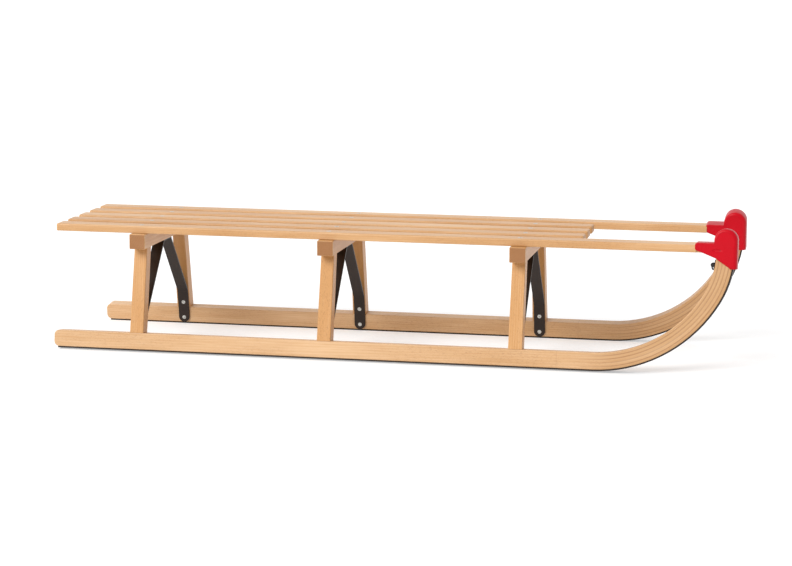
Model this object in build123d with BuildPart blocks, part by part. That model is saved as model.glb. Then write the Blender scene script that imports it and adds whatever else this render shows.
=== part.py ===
"""Slatted wooden toboggan: bent runners, splayed legs, steel soles and plastic horn caps."""
import os
from math import asin, cos, pi, radians, sin, tan

from build123d import *

os.makedirs("parts", exist_ok=True)

# Driving dimensions, in millimetres. X runs from the tail to the horns, Z is up.
LENGTH = 1200.0
TAIL = -LENGTH / 2
SEAT_TOP = 222.0
SLAT_THICK = 13.0
SLAT_WIDTH = 36.5
SLAT_PITCH = 60.15
INNER_SLAT_LENGTH = 933.0

# Runners: a straight sole, then two arcs that turn it upright. Each leans inward at the top.
RUNNER_Y = 148.5
RUNNER_LEAN = 6.5
RUNNER_WIDTH = 25.0
RUNNER_HEIGHT = 31.4
BEND_START = 961.0
LOW_RADIUS = 245.0
LOW_TURN = 60.0
HIGH_RADIUS = 170.0
HORN_TOP = 236.0
HORN_REAR_ROUND = 14.0
HORN_FRONT_ROUND = 10.0
TAIL_ROUND = 9.0
VENEERS = 4
VENEER_THICK = 1.5
VENEER_START = 900.0

# Steel sole strips
SOLE_WIDTH = 23.0
SOLE_THICK = 2.5
SOLE_START = 7.0
SOLE_TOP = 209.5
SOLE_SCREWS = [30.0, 225.0, 420.0, 615.0, 810.0, 975.0, 1045.0, 1115.0, 1185.0, 1250.0]

# Trestles: one crossbar on two splayed legs each
TRESTLES = {"rear": 153.4, "middle": 492.8, "front": 829.3}
CROSSBAR_HALF = 151.6
CROSSBAR_WIDTH = 28.0
CROSSBAR_HEIGHT = 26.5
LEG_TOP_Y = 126.0
LEG_WIDTH = 25.0
LEG_TOP_DEPTH = 23.0
LEG_FOOT_DEPTH = 25.0
LEG_SET_BACK = 1.0
TENON_DEPTH = 14.0
TENON_WIDTH = 13.0
TENON_LENGTH = 16.0

# Steel struts: a flat under the crossbar, two diagonals and two feet
STRUT_WIDTH = 20.0
STRUT_THICK = 3.0
STRUT_FLAT = 20.0
STRUT_KNEE_Z = 66.0
STRUT_FOOT_H = 3.5
STRUT_BEND = 7.0
STRUT_FOOT_ROUND = 9.6
LEG_SCREW_Z = 42.0
RUNNER_SCREW_H = 12.5
BAR_SCREW_Y = 11.0

# Horn caps, given along and above the runner's own plane
CAP_FRONT = 1200.0
CAP_REAR = 1160.5
CAP_DOME_H = 229.5
CAP_FOOT_H = 181.5
CAP_FOOT_X = 1188.5
CAP_THROAT = (1163.5, 199.0)
CAP_TIP_X = 1128.5
CAP_TIP_H = 212.5
BEAK_TOP = 224.8
BEAK_TILT = 4.0
NOSE_ROUND = 4.5
CAP_OUTER = 15.8
CAP_INNER = 21.2
CAP_ROUND = 5.0
BEAK_ROUND = 1.8
BOSS_X = 1172.0
BOSS_H = 212.0
BOSS_REACH = 12.5
BOSS_RADIUS = 2.3
BOSS_DEPTH = 1.2
HORN_SCREW_Z = 218.0
TONGUE_LENGTH = 34.0
TONGUE_INNER_CUT = 4.5
TONGUE_OUTER_CUT = 2.5

# Cord between the horns, its saddles and its knots
CORD_DIAMETER = 3.5
CORD_H = 187.0
CORD_OFF = 4.2
SADDLE_HALF = 9.0
SADDLE_OUT = 2.0
SADDLE_IN = 8.0
SADDLE_PLATE = 2.2
SADDLE_HUMP = 3.8
SADDLE_BORE = 2.1
SADDLE_SCREW = 6.7
KNOT_RADIUS = 3.7
KNOT_LENGTH = 7.0
KNOT_TAIL = 5.0
CORD_ROUTE = [
    (558.9, 129.25, 187.94),
    (558.9, 103.0, 184.95),
    (558.9, 64.0, 181.9),
    (558.9, 20.0, 179.6),
    (558.9, -22.0, 178.9),
    (558.9, -66.0, 181.2),
    (558.9, -103.0, 184.95),
    (558.9, -129.25, 187.94),
]

SLACK = 0.05
EDGE = 1.6
SLAT_EDGE = 2.6

SLAT_UNDER = SEAT_TOP - SLAT_THICK
BAR_UNDER = SLAT_UNDER - CROSSBAR_HEIGHT
LEAN_COS = cos(radians(RUNNER_LEAN))
LEAN_SIN = sin(radians(RUNNER_LEAN))
SOLE_LIFT = SOLE_WIDTH / 2 * LEAN_SIN
HIGH_X = BEND_START + (LOW_RADIUS - HIGH_RADIUS) * sin(radians(LOW_TURN))
HIGH_H = LOW_RADIUS - (LOW_RADIUS - HIGH_RADIUS) * cos(radians(LOW_TURN))
HORN_FACE = HIGH_X + HIGH_RADIUS
SLAT_ROWS = [row * SLAT_PITCH for row in range(-2, 3)]
OUTER_SLAT_Y = SLAT_ROWS[-1]

# The left runner's own plane: x along it, y up it, and its normal towards the middle.
runner_plane = Plane(
    origin=(TAIL, RUNNER_Y, SOLE_LIFT),
    x_dir=(1, 0, 0),
    z_dir=(0, -LEAN_COS, -LEAN_SIN),
)


def on_runner(along, height, across=0.0):
    """Point of the left runner: along it, up it, and across it towards the outside."""
    y = RUNNER_Y + across * LEAN_COS - height * LEAN_SIN
    z = SOLE_LIFT + across * LEAN_SIN + height * LEAN_COS
    return Vector(TAIL + along, y, z)


def runner_direction(along, height):
    """Direction in the left runner's plane."""
    return Vector(along, -height * LEAN_SIN, height * LEAN_COS)


def sole_place(distance, depth=0.0):
    """Point and outward direction, in the runner's plane, at a distance along the sole."""
    low_length = LOW_RADIUS * radians(LOW_TURN)
    turned = distance - BEND_START
    if turned <= 0:
        return distance, depth, 0.0, -1.0
    if turned <= low_length:
        turn = turned / LOW_RADIUS
        reach = LOW_RADIUS - depth
        return BEND_START + reach * sin(turn), LOW_RADIUS - reach * cos(turn), sin(turn), -cos(turn)
    turn = radians(LOW_TURN) + (turned - low_length) / HIGH_RADIUS
    reach = HIGH_RADIUS - depth
    return HIGH_X + reach * sin(turn), HIGH_H - reach * cos(turn), sin(turn), -cos(turn)


def bend_line(depth, start, top):
    """Line that keeps one depth above the sole, from start round the bend to top."""
    flat = Line((start, depth), (BEND_START, depth))
    low = JernArc(flat @ 1, flat % 1, LOW_RADIUS - depth, LOW_TURN)
    high = JernArc(low @ 1, low % 1, HIGH_RADIUS - depth, 90 - LOW_TURN)
    rise = Line(high @ 1, (HORN_FACE - depth, top))
    return rise @ 1


def layer(start, under, over, top, rounded=False):
    """Face of one layer of the runner, between two depths above the sole."""
    with BuildSketch(runner_plane) as face:
        with BuildLine():
            under_end = bend_line(under, start, top)
            over_end = bend_line(over, start, top)
            Line((start, under), (start, over))
            Line(under_end, over_end)
        make_face()
        if rounded:
            fillet(face.vertices().group_by(Axis.X)[0], TAIL_ROUND)
            fillet(face.vertices().group_by(Axis.Y)[-1].sort_by(Axis.X)[0], HORN_REAR_ROUND)
            fillet(face.vertices().group_by(Axis.Y)[-1].sort_by(Axis.X)[-1], HORN_FRONT_ROUND)
    return face.sketch


def screws(planes, head, shank, length):
    """Countersunk screws with a cross recess, heads flush with their planes."""
    sink = head - shank
    with Locations(*planes):
        Cone(shank, head, sink, align=(Align.CENTER, Align.CENTER, Align.MAX))
        with Locations((0, 0, -sink)):
            Cylinder(shank, length - sink, align=(Align.CENTER, Align.CENTER, Align.MAX))
        for width, depth in ((head * 1.1, head * 0.22), (head * 0.22, head * 1.1)):
            Box(width, depth, sink, mode=Mode.SUBTRACT)


def drill(planes, head, shank, length):
    """Countersunk holes for the same screws."""
    with Locations(*planes):
        CounterSinkHole(shank + SLACK, head + SLACK, length + SLACK, 90)


def pilot(planes, shank, length):
    """Plain holes for the screws that start above this piece."""
    with Locations(*planes):
        Cylinder(shank + SLACK, length + SLACK, align=(Align.CENTER, Align.CENTER, Align.MAX),
                 mode=Mode.SUBTRACT)


def mirrored(planes):
    """The same planes on the other side of the toboggan."""
    return [Plane(origin=(p.origin.X, -p.origin.Y, p.origin.Z), z_dir=(p.z_dir.X, -p.z_dir.Y, p.z_dir.Z))
            for p in planes]


def keep(part, name):
    """Label a finished piece and write it."""
    part.label = name
    export_step(part, f"parts/{name}.step")


def keep_pair(part, name):
    """Write a left piece and its mirror image on the right."""
    with BuildPart() as other:
        mirror(part, about=Plane.XZ)
    keep(part, f"left_{name}")
    keep(other.part, f"right_{name}")


# Screw places. Each plane lies on the surface and faces out of it.
SOLE_HEAD, SOLE_SHANK, SOLE_LONG = 3.6, 1.9, 18.0
sole_planes = []
for distance in SOLE_SCREWS:
    along, height, out_x, out_h = sole_place(distance)
    sole_planes.append(Plane(origin=on_runner(along, height), z_dir=runner_direction(out_x, out_h)))

SLAT_HEAD, SLAT_SHANK, SLAT_LONG = 4.2, 2.1, 32.0
slat_planes = [
    Plane(origin=(TAIL + x, y, SEAT_TOP), z_dir=(0, 0, 1)) for x in TRESTLES.values() for y in SLAT_ROWS
]

STRUT_HEAD, STRUT_SHANK, STRUT_LONG = 3.5, 1.8, 19.0
leg_inner_top = Vector(0, LEG_TOP_Y - LEG_WIDTH, BAR_UNDER)
leg_inner_foot = on_runner(-TAIL, RUNNER_HEIGHT, -RUNNER_WIDTH / 2)
leg_down = (leg_inner_foot - leg_inner_top).normalized()
leg_in = Vector(0, leg_down.Z, -leg_down.Y)
runner_in = Vector(0, -LEAN_COS, -LEAN_SIN)


def leg_face(z, off=0.0):
    """Point of the left legs' inner face at height z, moved off it towards the middle."""
    share = (z - leg_inner_top.Z) / leg_down.Z
    return leg_inner_top + leg_down * share + leg_in * off


leg_planes = []
foot_planes = []
bar_planes = []
for x in TRESTLES.values():
    shift = Vector(TAIL + x, 0, 0)
    leg_planes.append(Plane(origin=shift + leg_face(LEG_SCREW_Z, STRUT_THICK), z_dir=leg_in))
    foot = on_runner(-TAIL, RUNNER_SCREW_H, -RUNNER_WIDTH / 2)
    foot_planes.append(Plane(origin=shift + foot + runner_in * STRUT_THICK, z_dir=runner_in))
    for side in (-1, 1):
        under = (TAIL + x, side * BAR_SCREW_Y, BAR_UNDER - STRUT_THICK)
        bar_planes.append(Plane(origin=under, z_dir=(0, 0, -1)))

CAP_HEAD, CAP_SHANK, CAP_LONG = 2.1, 1.2, 14.0
cap_planes = [
    Plane(origin=on_runner(BOSS_X, BOSS_H, CAP_OUTER - BOSS_DEPTH), z_dir=-runner_in),
    Plane(origin=on_runner(BOSS_X, BOSS_H, BOSS_DEPTH - CAP_INNER), z_dir=runner_in),
]

HORN_HEAD, HORN_SHANK, HORN_LONG = 4.2, 2.1, 62.0
horn_front = on_runner(HORN_FACE - SOLE_THICK, (HORN_SCREW_Z - SOLE_LIFT) / LEAN_COS)
horn_planes = [Plane(origin=horn_front, z_dir=(1, 0, 0))]

# Runner blank, before it is slit, mortised and drilled
with BuildPart() as runner_blank:
    outline = layer(0, SOLE_THICK, RUNNER_HEIGHT, HORN_TOP, rounded=True)
    extrude(outline, amount=RUNNER_WIDTH / 2, both=True)
    sides = runner_blank.faces().sort_by(Axis(origin=(0, 0, 0), direction=tuple(runner_in)))
    fillet(sides[0].edges() + sides[-1].edges(), EDGE)

# Veneers glued into the slits of the bend
tongue = (RUNNER_HEIGHT - SOLE_THICK - VENEERS * VENEER_THICK) / (VENEERS + 1)
with BuildPart() as veneer_stock:
    for row in range(VENEERS):
        under = SOLE_THICK + tongue + row * (tongue + VENEER_THICK)
        extrude(
            layer(VENEER_START, under, under + VENEER_THICK, HORN_TOP), amount=RUNNER_WIDTH / 2, both=True
        )

with BuildPart() as veneers_drilled:
    add(veneer_stock.part)
    add(runner_blank.part, mode=Mode.INTERSECT)
    pilot(sole_planes, SOLE_SHANK, SOLE_LONG)
    drill(horn_planes, HORN_HEAD, HORN_SHANK, HORN_LONG)
    pilot(cap_planes, CAP_SHANK, CAP_LONG)

with BuildPart() as runner_drilled:
    add(runner_blank.part)
    add(veneer_stock.part, mode=Mode.SUBTRACT)
    pilot(sole_planes, SOLE_SHANK, SOLE_LONG)
    pilot(foot_planes, STRUT_SHANK, STRUT_LONG)
    drill(horn_planes, HORN_HEAD, HORN_SHANK, HORN_LONG)
    pilot(cap_planes, CAP_SHANK, CAP_LONG)
    for x in TRESTLES.values():
        with BuildSketch(runner_plane.offset(-TENON_WIDTH / 2)):
            with Locations((x - LEG_SET_BACK, RUNNER_HEIGHT - TENON_LENGTH / 2)):
                Rectangle(TENON_DEPTH, TENON_LENGTH)
        extrude(amount=TENON_WIDTH, mode=Mode.SUBTRACT)

# Steel sole strips
with BuildPart() as sole:
    extrude(layer(SOLE_START, 0, SOLE_THICK, SOLE_TOP), amount=SOLE_WIDTH / 2, both=True)
    drill(sole_planes, SOLE_HEAD, SOLE_SHANK, SOLE_LONG)

with BuildPart() as sole_screws:
    screws(sole_planes, SOLE_HEAD, SOLE_SHANK, SOLE_LONG)

keep_pair(sole.part, "sole_strip")
keep_pair(sole_screws.part, "sole_screws")

# Slats: the two outer ones reach the horns and end in a tongue
with BuildPart() as slat_blank:
    with BuildSketch(Plane.XY.offset(SLAT_UNDER)):
        with Locations((TAIL + INNER_SLAT_LENGTH / 2, 0)):
            RectangleRounded(INNER_SLAT_LENGTH, SLAT_WIDTH, SLAT_EDGE + 1.4)
    extrude(amount=SLAT_THICK)
    fillet(slat_blank.faces().sort_by(Axis.Z)[-1].edges(), SLAT_EDGE)
    fillet(slat_blank.faces().sort_by(Axis.Z)[0].edges(), EDGE)

for row, name in zip(SLAT_ROWS[1:4], ("right_inner_slat", "centre_slat", "left_inner_slat")):
    with BuildPart() as slat:
        with Locations((0, row, 0)):
            add(slat_blank.part)
        drill([p for p in slat_planes if p.origin.Y == row], SLAT_HEAD, SLAT_SHANK, SLAT_LONG)
    keep(slat.part, name)

horn_rear_x = horn_front.X + SOLE_THICK - RUNNER_HEIGHT
with BuildPart() as outer_slat:
    with BuildSketch(Plane.XY.offset(SLAT_UNDER)) as outer_sketch:
        with Locations(((TAIL + horn_rear_x) / 2, OUTER_SLAT_Y)):
            Rectangle(horn_rear_x - TAIL, SLAT_WIDTH)
        fillet(outer_sketch.vertices().group_by(Axis.X)[0], SLAT_EDGE + 1.4)
    extrude(amount=SLAT_THICK)
    outer_ends = outer_slat.faces().sort_by(Axis.X)[-1].edges()
    top_edges = outer_slat.faces().sort_by(Axis.Z)[-1].edges() - outer_ends
    under_edges = outer_slat.faces().sort_by(Axis.Z)[0].edges() - outer_ends
    fillet(top_edges, SLAT_EDGE)
    fillet(under_edges, EDGE)
    for cut, side in ((TONGUE_OUTER_CUT, 1), (TONGUE_INNER_CUT, -1)):
        with Locations((horn_rear_x, OUTER_SLAT_Y + side * SLAT_WIDTH / 2, SLAT_UNDER)):
            Box(2 * TONGUE_LENGTH, 2 * cut, 3 * SLAT_THICK, mode=Mode.SUBTRACT)
    drill([p for p in slat_planes if p.origin.Y == OUTER_SLAT_Y], SLAT_HEAD, SLAT_SHANK, SLAT_LONG)
    pilot(horn_planes, HORN_SHANK, HORN_LONG)
keep_pair(outer_slat.part, "outer_slat")

with BuildPart() as slat_screws:
    screws(slat_planes, SLAT_HEAD, SLAT_SHANK, SLAT_LONG)
keep(slat_screws.part, "slat_screws")

with BuildPart() as horn_screws:
    screws(horn_planes + mirrored(horn_planes), HORN_HEAD, HORN_SHANK, HORN_LONG)
keep(horn_screws.part, "horn_screws")

# Trestles
top_tenon_y = LEG_TOP_Y - LEG_WIDTH / 2 - 1.0
for name, x in TRESTLES.items():
    leg_x = TAIL + x - LEG_SET_BACK
    with BuildPart() as leg:
        with BuildSketch(Plane.YZ.offset(leg_x - LEG_FOOT_DEPTH / 2)):
            with BuildLine():
                foot_in = on_runner(0, RUNNER_HEIGHT, -RUNNER_WIDTH / 2)
                foot_out = on_runner(0, RUNNER_HEIGHT, RUNNER_WIDTH / 2)
                Polyline(
                    (LEG_TOP_Y - LEG_WIDTH, BAR_UNDER),
                    (LEG_TOP_Y, BAR_UNDER),
                    (foot_out.Y, foot_out.Z),
                    (foot_in.Y, foot_in.Z),
                    close=True,
                )
            make_face()
        extrude(amount=LEG_FOOT_DEPTH)
        with BuildSketch(Plane.XZ.offset(-CROSSBAR_HALF - LEG_WIDTH)):
            with BuildLine():
                Polyline(
                    (leg_x - LEG_TOP_DEPTH / 2, BAR_UNDER),
                    (leg_x + LEG_TOP_DEPTH / 2, BAR_UNDER),
                    (leg_x + LEG_FOOT_DEPTH / 2, 0),
                    (leg_x - LEG_FOOT_DEPTH / 2, 0),
                    close=True,
                )
            make_face()
        extrude(amount=2 * CROSSBAR_HALF, mode=Mode.INTERSECT)
        long_edges = leg.edges().filter_by(lambda edge: edge.length > BAR_UNDER / 2)
        fillet(long_edges, EDGE)
        with Locations((leg_x, top_tenon_y, BAR_UNDER)):
            Box(TENON_DEPTH, TENON_WIDTH, TENON_LENGTH, align=(Align.CENTER, Align.CENTER, Align.MIN))
        with BuildSketch(runner_plane.offset(-TENON_WIDTH / 2)):
            with Locations((x - LEG_SET_BACK, RUNNER_HEIGHT - TENON_LENGTH / 2)):
                Rectangle(TENON_DEPTH, TENON_LENGTH)
        extrude(amount=TENON_WIDTH)
        pilot([p for p in leg_planes if p.origin.X == TAIL + x], STRUT_SHANK, STRUT_LONG)
        pilot([p for p in slat_planes if p.origin.X == TAIL + x], SLAT_SHANK, SLAT_LONG)
    with BuildPart() as right_leg:
        mirror(leg.part, about=Plane.XZ)
    keep(leg.part, f"{name}_left_leg")
    keep(right_leg.part, f"{name}_right_leg")

    with BuildPart() as crossbar:
        with BuildSketch(Plane.XZ.offset(-CROSSBAR_HALF)):
            with Locations((TAIL + x, (BAR_UNDER + SLAT_UNDER) / 2)):
                Rectangle(CROSSBAR_WIDTH, CROSSBAR_HEIGHT)
        extrude(amount=2 * CROSSBAR_HALF)
        fillet(crossbar.edges(), EDGE)
        with Locations((leg_x, top_tenon_y, BAR_UNDER), (leg_x, -top_tenon_y, BAR_UNDER)):
            Box(TENON_DEPTH, TENON_WIDTH, TENON_LENGTH, align=(Align.CENTER, Align.CENTER, Align.MIN),
                mode=Mode.SUBTRACT)
        pilot([p for p in slat_planes if p.origin.X == TAIL + x], SLAT_SHANK, SLAT_LONG)
        pilot([p for p in bar_planes if p.origin.X == TAIL + x], STRUT_SHANK, STRUT_LONG)
    keep(crossbar.part, f"{name}_crossbar")

    # Strut: its centre line runs half a thickness off the wood, then it is given its section.
    with BuildPart() as strut:
        with BuildSketch(Plane.YZ.offset(TAIL + x - STRUT_WIDTH / 2)):
            half = STRUT_THICK / 2
            knee = leg_face(STRUT_KNEE_Z, half)
            mitre = (leg_in + runner_in) / (1 + leg_in.dot(runner_in))
            ankle = leg_inner_foot + mitre * half
            foot = on_runner(0, STRUT_FOOT_H, -RUNNER_WIDTH / 2) + runner_in * half
            left = [
                (STRUT_FLAT, BAR_UNDER - half),
                (knee.Y, knee.Z),
                (ankle.Y, ankle.Z),
                (foot.Y, foot.Z),
            ]
            right = [(-y, z) for y, z in reversed(left)]
            with BuildLine():
                FilletPolyline(*right, *left, radius=STRUT_BEND)
            trace(line_width=STRUT_THICK)
        extrude(amount=STRUT_WIDTH)
        across_edges = strut.edges().filter_by(lambda edge: abs(edge.length - STRUT_THICK) < 0.01)
        fillet(across_edges.group_by(Axis.Z)[0], STRUT_FOOT_ROUND)
        near = [p for p in leg_planes + foot_planes if p.origin.X == TAIL + x]
        under = [p for p in bar_planes if p.origin.X == TAIL + x]
        drill(near + mirrored(near) + under, STRUT_HEAD, STRUT_SHANK, STRUT_LONG)
    keep(strut.part, f"{name}_strut")

for name, planes in (
    ("strut_leg_screws", leg_planes + mirrored(leg_planes)),
    ("strut_runner_screws", foot_planes + mirrored(foot_planes)),
    ("strut_crossbar_screws", bar_planes),
):
    with BuildPart() as strut_screws:
        screws(planes, STRUT_HEAD, STRUT_SHANK, STRUT_LONG)
    keep(strut_screws.part, name)

# Horn caps
dome_radius = (CAP_FRONT - CAP_REAR) / 2
with BuildPart() as cap:
    with BuildSketch(runner_plane.offset(-CAP_OUTER)):
        with BuildLine():
            front = Line((CAP_FRONT, CAP_FOOT_H), (CAP_FRONT, CAP_DOME_H))
            dome = JernArc(front @ 1, front % 1, dome_radius, 180)
            back = Line(dome @ 1, (CAP_REAR, BEAK_TOP + 3))
            Polyline(
                back @ 1,
                (CAP_TIP_X, BEAK_TOP + 3),
                (CAP_TIP_X, CAP_TIP_H),
                CAP_THROAT,
                (CAP_FOOT_X, CAP_FOOT_H),
                front @ 0,
            )
        make_face()
    extrude(amount=CAP_OUTER + CAP_INNER)
    with Locations(Location((TAIL + CAP_REAR, OUTER_SLAT_Y, BEAK_TOP), (BEAK_TILT, 0, 0))):
        Box(2 * SLAT_WIDTH, 2 * SLAT_WIDTH, SLAT_WIDTH, align=(Align.MAX, Align.CENTER, Align.MIN),
            mode=Mode.SUBTRACT)
    cheeks = cap.faces().sort_by(Axis(origin=(0, 0, 0), direction=tuple(runner_in)))
    cheek_edges = cheeks[0].edges() + cheeks[-1].edges()
    fillet(cheek_edges.filter_by(lambda edge: edge.length > CAP_FRONT - CAP_REAR), CAP_ROUND)
    nose_edges = cap.edges().filter_by(lambda edge: edge.center().X < TAIL + CAP_TIP_X + 0.5)
    fillet(nose_edges.filter_by(lambda edge: edge.length > CAP_OUTER + CAP_INNER - 1), NOSE_ROUND)
    cheeks = cap.faces().sort_by(Axis(origin=(0, 0, 0), direction=tuple(runner_in)))
    beak_edges = cheeks[0].edges() + cheeks[-1].edges()
    fillet(beak_edges.filter_by(lambda edge: edge.center().X < TAIL + CAP_REAR - 1), BEAK_ROUND)
    for cheek, inward in ((-CAP_OUTER, 1), (CAP_INNER, -1)):
        with BuildSketch(runner_plane.offset(cheek)):
            with Locations((BOSS_X - BOSS_REACH / 2, BOSS_H)):
                SlotCenterToCenter(BOSS_REACH, 2 * BOSS_RADIUS)
        extrude(amount=inward * BOSS_DEPTH, mode=Mode.SUBTRACT)
    add(runner_blank.part, mode=Mode.SUBTRACT)
    add(sole.part, mode=Mode.SUBTRACT)
    add(outer_slat.part, mode=Mode.SUBTRACT)
    pilot(horn_planes, HORN_SHANK, HORN_LONG)
    drill(cap_planes, CAP_HEAD, CAP_SHANK, CAP_LONG)
keep_pair(cap.part, "horn_cap")

with BuildPart() as cap_screws:
    screws(cap_planes + mirrored(cap_planes), CAP_HEAD, CAP_SHANK, CAP_LONG)
keep(cap_screws.part, "cap_screws")

# Cord saddles on the horns' rear faces
saddle_turn = radians(90) - asin((HIGH_H - CORD_H) / (HIGH_RADIUS - RUNNER_HEIGHT))
saddle_distance = BEND_START + LOW_RADIUS * radians(LOW_TURN)
saddle_distance += HIGH_RADIUS * (saddle_turn - radians(LOW_TURN))
seat_x, seat_h, out_x, out_h = sole_place(saddle_distance, RUNNER_HEIGHT)
saddle_plane = Plane(
    origin=on_runner(seat_x, seat_h),
    x_dir=runner_in,
    z_dir=-runner_direction(out_x, out_h),
)
saddle_middle = (SADDLE_IN - SADDLE_OUT) / 2
saddle_screw_planes = [
    Plane(
        origin=saddle_plane.from_local_coords((saddle_middle, up * SADDLE_SCREW, SADDLE_PLATE)),
        z_dir=saddle_plane.z_dir,
    )
    for up in (-1, 1)
]
SADDLE_HEAD, SADDLE_SHANK, SADDLE_LONG = 1.7, 0.9, 10.0

with BuildPart() as saddle:
    with BuildSketch(saddle_plane):
        with Locations((saddle_middle, 0)):
            RectangleRounded(SADDLE_IN + SADDLE_OUT, 2 * SADDLE_HALF, EDGE)
    extrude(amount=SADDLE_PLATE)
    with Locations(saddle_plane):
        with Locations(Location((saddle_middle, 0, CORD_OFF), (0, 90, 0))):
            Cylinder(SADDLE_HUMP, SADDLE_IN + SADDLE_OUT)
        with Locations((saddle_middle, 0, 0)):
            Box(SADDLE_IN + SADDLE_OUT, 2 * SADDLE_HUMP, CORD_OFF,
                align=(Align.CENTER, Align.CENTER, Align.MIN))
        with Locations(Location((saddle_middle, 0, CORD_OFF), (0, 90, 0))):
            Cylinder(SADDLE_BORE, 2 * SADDLE_IN + SADDLE_OUT, mode=Mode.SUBTRACT)
    add(runner_blank.part, mode=Mode.SUBTRACT)
    drill(saddle_screw_planes, SADDLE_HEAD, SADDLE_SHANK, SADDLE_LONG)
keep_pair(saddle.part, "cord_saddle")

with BuildPart() as saddle_screws:
    screws(saddle_screw_planes + mirrored(saddle_screw_planes), SADDLE_HEAD, SADDLE_SHANK, SADDLE_LONG)
keep(saddle_screws.part, "saddle_screws")

with BuildPart() as runner:
    add(runner_drilled.part)
    pilot(saddle_screw_planes, SADDLE_SHANK, SADDLE_LONG)
with BuildPart() as veneers:
    add(veneers_drilled.part)
    pilot(saddle_screw_planes, SADDLE_SHANK, SADDLE_LONG)
keep_pair(runner.part, "runner")
keep_pair(veneers.part, "bend_veneers")

# Cord, strung a little slack from saddle to saddle, with a stopper knot outside each saddle
def corner_radius(before, corner, after):
    """Largest arc that the two runs at a corner leave room for."""
    turn = (corner - before).get_angle(after - corner)
    return 0.45 * min((corner - before).length, (after - corner).length) / tan(radians(turn / 2))


route = [Vector(*point) for point in CORD_ROUTE]
radii = [corner_radius(*route[row - 1:row + 2]) for row in range(1, len(route) - 1)]
print("cord radii", [round(radius, 1) for radius in radii])
with BuildPart() as cord:
    with BuildLine() as cord_path:
        FilletPolyline(*route, radius=radii)
    with BuildSketch(Plane(origin=route[0], z_dir=route[1] - route[0])):
        Circle(CORD_DIAMETER / 2)
    sweep()
cord_length = sum(edge.length for edge in cord_path.edges())
cord_section = pi * CORD_DIAMETER ** 2 / 4
print("cord length", round(cord_length, 2), "volume ratio", cord.part.volume / (cord_section * cord_length))
keep(cord.part, "cord")

with BuildPart() as knot:
    with Locations(saddle_plane):
        with Locations(Location((-SADDLE_OUT - KNOT_LENGTH / 2, 0, CORD_OFF), (0, 90, 0))):
            Cylinder(KNOT_RADIUS, KNOT_LENGTH)
    fillet(knot.edges().filter_by(GeomType.CIRCLE), KNOT_RADIUS / 2)
    with Locations(saddle_plane):
        with Locations(Location((-SADDLE_OUT - KNOT_LENGTH / 2, 0, CORD_OFF), (90, 0, 0))):
            Cylinder(CORD_DIAMETER / 2, KNOT_RADIUS + KNOT_TAIL,
                     align=(Align.CENTER, Align.CENTER, Align.MIN))
keep_pair(knot.part, "cord_knot")
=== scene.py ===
"""Finished look of a slatted wooden toboggan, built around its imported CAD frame."""

import enum
import logging
import math
from dataclasses import dataclass, field
from typing import Dict, List, Mapping, Optional, Sequence, Tuple, Union

import bmesh
import bpy
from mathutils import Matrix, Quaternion, Vector
from mathutils.geometry import tessellate_polygon


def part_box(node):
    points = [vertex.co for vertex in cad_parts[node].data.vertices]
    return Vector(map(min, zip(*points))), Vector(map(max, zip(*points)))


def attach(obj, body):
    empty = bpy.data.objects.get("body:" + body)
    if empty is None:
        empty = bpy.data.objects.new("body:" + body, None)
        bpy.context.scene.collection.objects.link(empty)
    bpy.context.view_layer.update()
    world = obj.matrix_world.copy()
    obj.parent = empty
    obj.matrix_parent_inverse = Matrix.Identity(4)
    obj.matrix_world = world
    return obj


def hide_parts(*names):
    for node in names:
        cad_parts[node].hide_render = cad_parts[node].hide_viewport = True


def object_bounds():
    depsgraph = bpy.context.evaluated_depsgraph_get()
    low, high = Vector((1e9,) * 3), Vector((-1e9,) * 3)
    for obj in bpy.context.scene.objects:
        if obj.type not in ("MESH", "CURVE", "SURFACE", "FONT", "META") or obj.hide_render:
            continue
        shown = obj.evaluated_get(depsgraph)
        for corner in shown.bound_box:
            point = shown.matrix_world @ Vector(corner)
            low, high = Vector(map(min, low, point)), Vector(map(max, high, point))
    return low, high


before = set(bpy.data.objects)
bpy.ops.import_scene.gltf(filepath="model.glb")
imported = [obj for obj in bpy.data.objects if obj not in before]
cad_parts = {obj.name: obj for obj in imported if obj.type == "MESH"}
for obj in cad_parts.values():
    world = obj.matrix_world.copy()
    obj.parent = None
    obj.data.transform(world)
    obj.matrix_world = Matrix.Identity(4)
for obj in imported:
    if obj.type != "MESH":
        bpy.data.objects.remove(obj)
CAD_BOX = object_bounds()

LOG = logging.getLogger("toboggan")
BODY = "root"
SIDES = ("left", "right")
TRESTLES = ("rear", "middle", "front")

Term = Union["Field", float, Tuple[float, ...]]
Colour = Tuple[float, float, float, float]
Ring = List[bmesh.types.BMVert]
WHITE: Colour = (1.0, 1.0, 1.0, 1.0)
SAME_WAY = 0.01


def paint(text: str) -> Colour:
    """Turns a paint code into a colour that the shaders use.

    Args:
        text: Six hexadecimal digits, two each for red, green and blue.

    Returns:
        The linear colour with full alpha.
    """
    parts = [int(text[start:start + 2], 16) / 255 for start in (0, 2, 4)]
    linear = [part / 12.92 if part <= 0.04045 else ((part + 0.055) / 1.055) ** 2.4 for part in parts]
    return (linear[0], linear[1], linear[2], 1.0)


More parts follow.
